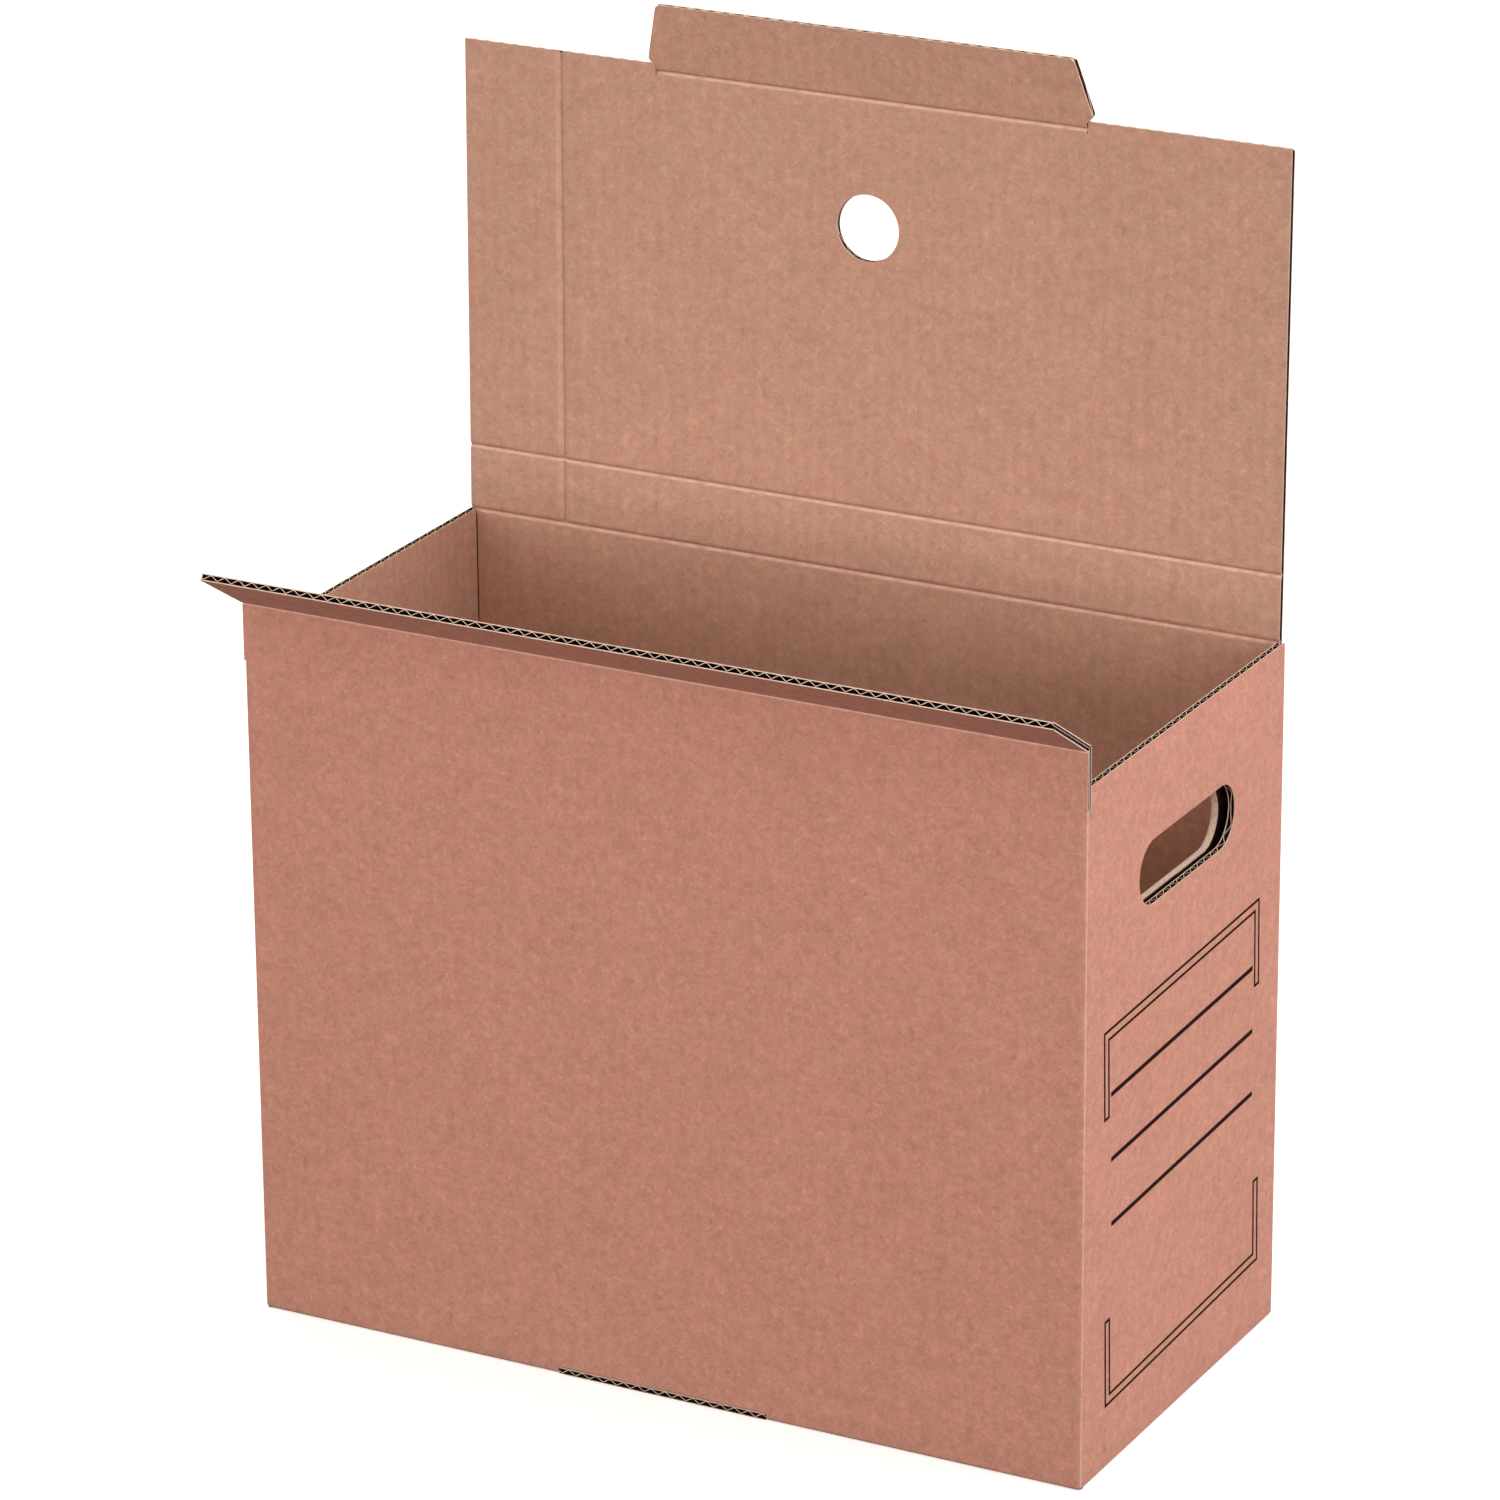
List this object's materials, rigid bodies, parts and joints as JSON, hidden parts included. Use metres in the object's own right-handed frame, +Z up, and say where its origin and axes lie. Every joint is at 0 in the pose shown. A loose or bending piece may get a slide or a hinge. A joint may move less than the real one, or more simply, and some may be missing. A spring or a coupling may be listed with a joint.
{
  "type": "open cardboard box",
  "caption": "Tall narrow corrugated box with a raised hinged lid, tuck tab, front flap, finger hole, hand hole and a printed writing field.",
  "frame": {"origin": "centre of the box's underside, on the surface it stands on", "axes": "+Z up, -Y the front wall with the short flap, +X the right wall with the hand hole and the writing field"},
  "size_m": [0.3801, 0.2224, 0.5341],
  "materials": {
    "kraft_board": "matte brown corrugated board, reddish outer liner",
    "kraft_lid": "matte brown corrugated board, seen from its inner liner",
    "black_ink": "matte black print"
  },
  "bodies": {
    "box": {"box_body": "kraft_board", "label_print": "black_ink"},
    "strip": {"lid_strip": "kraft_lid"},
    "lid": {"lid_panel": "kraft_lid"},
    "tab": {"lid_tab": "kraft_lid"},
    "flap": {"front_flap": "kraft_board"}
  },
  "joints": [
    {"name": "lid_fold", "type": "hinge", "parent": "box", "child": "strip", "pos_m": [0, 0.0925, 0.3], "axis": [1, 0, 0], "range_deg": [-90, 0]},
    {"name": "lid_panel_fold", "type": "hinge", "parent": "strip", "child": "lid", "pos_m": [0, 0.0929, 0.3285], "axis": [1, 0, 0], "range_deg": [-90, 86]},
    {"name": "tab_fold", "type": "hinge", "parent": "lid", "child": "tab", "pos_m": [0, 0.09534, 0.50348], "axis": [1, 0, 0], "range_deg": [-13, 77]},
    {"name": "front_flap_fold", "type": "hinge", "parent": "box", "child": "flap", "pos_m": [0, -0.0925, 0.316], "axis": [1, 0, 0], "range_deg": [-10, 40]}
  ]
}
